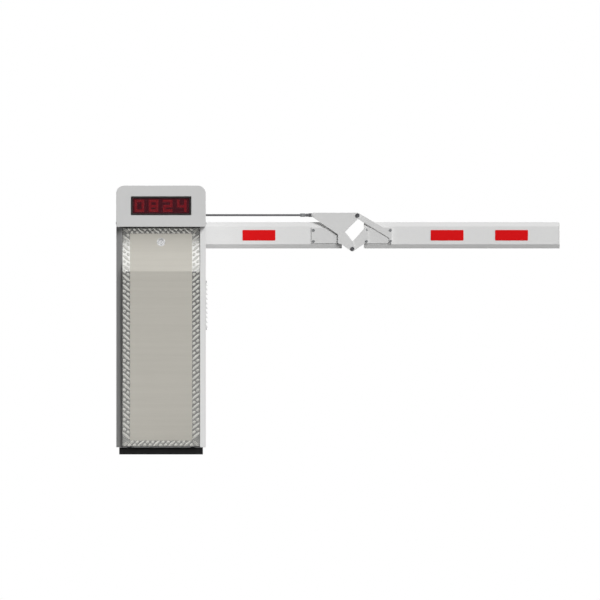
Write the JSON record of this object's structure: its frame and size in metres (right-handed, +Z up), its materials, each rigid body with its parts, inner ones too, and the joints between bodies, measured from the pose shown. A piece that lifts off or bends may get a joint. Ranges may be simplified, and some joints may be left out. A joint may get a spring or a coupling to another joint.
{
  "type": "parking barrier gate",
  "caption": "Parking barrier: steel cabinet with a tilting door, message display head and a motor-lifted boom that folds level as it rises.",
  "frame": {"origin": "centre of the plinth's underside, on the ground", "axes": "+X along the lowered boom, +Y from the door towards the boom, +Z up"},
  "size_m": [1.6848, 0.4249, 1.022],
  "materials": {
    "cabinet_paint": "satin powder coat, light grey",
    "black_paint": "satin black powder coat",
    "satin_steel": "brushed stainless sheet",
    "tread_steel": "embossed stainless sheet",
    "boom_paint": "white powder coat",
    "plate_paint": "light grey powder coat",
    "steel": "zinc-plated steel",
    "chrome": "polished chrome",
    "red_film": "retroreflective red film",
    "black_plastic": "moulded black plastic",
    "grey_plastic": "moulded light grey plastic",
    "smoked_acrylic": "smoked red acrylic",
    "cast_iron": "machinery grey cast iron",
    "cast_aluminium": "cast aluminium",
    "rubber": "black rubber",
    "motor_paint": "blue-grey machine paint"
  },
  "bodies": {
    "cabinet": {"plinth": "black_paint", "floor_plate": "steel", "anchor_bolt_1": "steel", "anchor_bolt_2": "steel", "anchor_bolt_3": "steel", "anchor_bolt_4": "steel", "cabinet_body": "cabinet_paint", "side_vent": "cabinet_paint", "strike_rail": "cabinet_paint", "door_pivot_left": "steel", "door_pivot_right": "steel", "head_cover": "cabinet_paint", "display_bezel": "black_plastic", "display_window": "smoked_acrylic", "display_module": "black_plastic", "mechanism_plate": "steel", "cross_beam": "steel", "rear_bearing": "cast_iron", "front_bearing": "cast_iron", "shaft_seal_flange": "cast_aluminium", "gearbox": "cast_aluminium", "motor": "motor_paint", "spring_anchor": "steel", "balance_spring_1": "steel", "balance_spring_2": "steel", "stop_down": "rubber", "stop_up": "rubber", "control_box": "grey_plastic", "rod_anchor": "plate_paint"},
    "inner_arm": {"main_shaft": "steel", "hub_flange": "cast_aluminium", "rocker_lever": "steel", "spring_pin": "steel", "boom_carrier": "plate_paint", "boom_clamp_plate": "plate_paint", "inner_boom": "boom_paint", "inner_boom_root_cap": "grey_plastic", "inner_boom_fold_cap": "grey_plastic", "inner_leaf_front": "plate_paint", "inner_leaf_rear": "plate_paint", "fold_pin": "steel", "reflector_1": "red_film"},
    "outer_arm": {"outer_boom": "boom_paint", "outer_boom_fold_cap": "grey_plastic", "outer_boom_tip_cap": "grey_plastic", "outer_leaf_front": "plate_paint", "outer_leaf_rear": "plate_paint", "drive_plate": "plate_paint", "brace_plate": "plate_paint", "brace_bolt": "steel", "reflector_2": "red_film", "reflector_3": "red_film"},
    "drive_rod": {"pull_rod": "steel", "rod_pin": "steel"},
    "gear_crank": {"output_crank": "steel"},
    "link_rod": {"connecting_rod": "steel"},
    "door": {"door_skin": "tread_steel", "door_inlay": "satin_steel", "lock_body": "chrome"},
    "lock_cylinder": {"lock_plug": "chrome"}
  },
  "joints": [
    {"name": "arm_lift", "type": "hinge", "parent": "cabinet", "child": "inner_arm", "pos_m": [0, 0.16, 0.7815], "axis": [0, -1, 0], "range_deg": [0, 90], "deforming": ["balance_spring_1", "balance_spring_2"]},
    {"name": "fold", "type": "hinge", "parent": "inner_arm", "child": "outer_arm", "pos_m": [0.727, 0.208, 0.7815], "axis": [0, 1, 0], "range_deg": [0, 90]},
    {"name": "rod_swing", "type": "hinge", "parent": "cabinet", "child": "drive_rod", "pos_m": [-0.147, 0.1813, 0.9095], "axis": [0, -1, 0], "range_deg": [0, 90]},
    {"name": "crank_turn", "type": "hinge", "parent": "cabinet", "child": "gear_crank", "pos_m": [0, 0.08, 0.48], "axis": [0, -1, 0], "range_deg": [0, 90]},
    {"name": "link_swing", "type": "hinge", "parent": "gear_crank", "child": "link_rod", "pos_m": [0.04384, 0.049, 0.43616], "axis": [0, 1, 0], "range_deg": [0, 90]},
    {"name": "door_tilt", "type": "hinge", "parent": "cabinet", "child": "door", "pos_m": [0, -0.15, 0.04], "axis": [1, 0, 0], "range_deg": [0, 75]},
    {"name": "lock_turn", "type": "hinge", "parent": "door", "child": "lock_cylinder", "pos_m": [0, -0.12, 0.807], "axis": [0, -1, 0], "range_deg": [0, 90]}
  ],
  "couplings": [
    {"joint": "fold", "follows": "arm_lift", "ratio": 1},
    {"joint": "rod_swing", "follows": "arm_lift", "ratio": 1},
    {"joint": "crank_turn", "follows": "arm_lift", "ratio": 1},
    {"joint": "link_swing", "follows": "arm_lift", "ratio": 1}
  ]
}
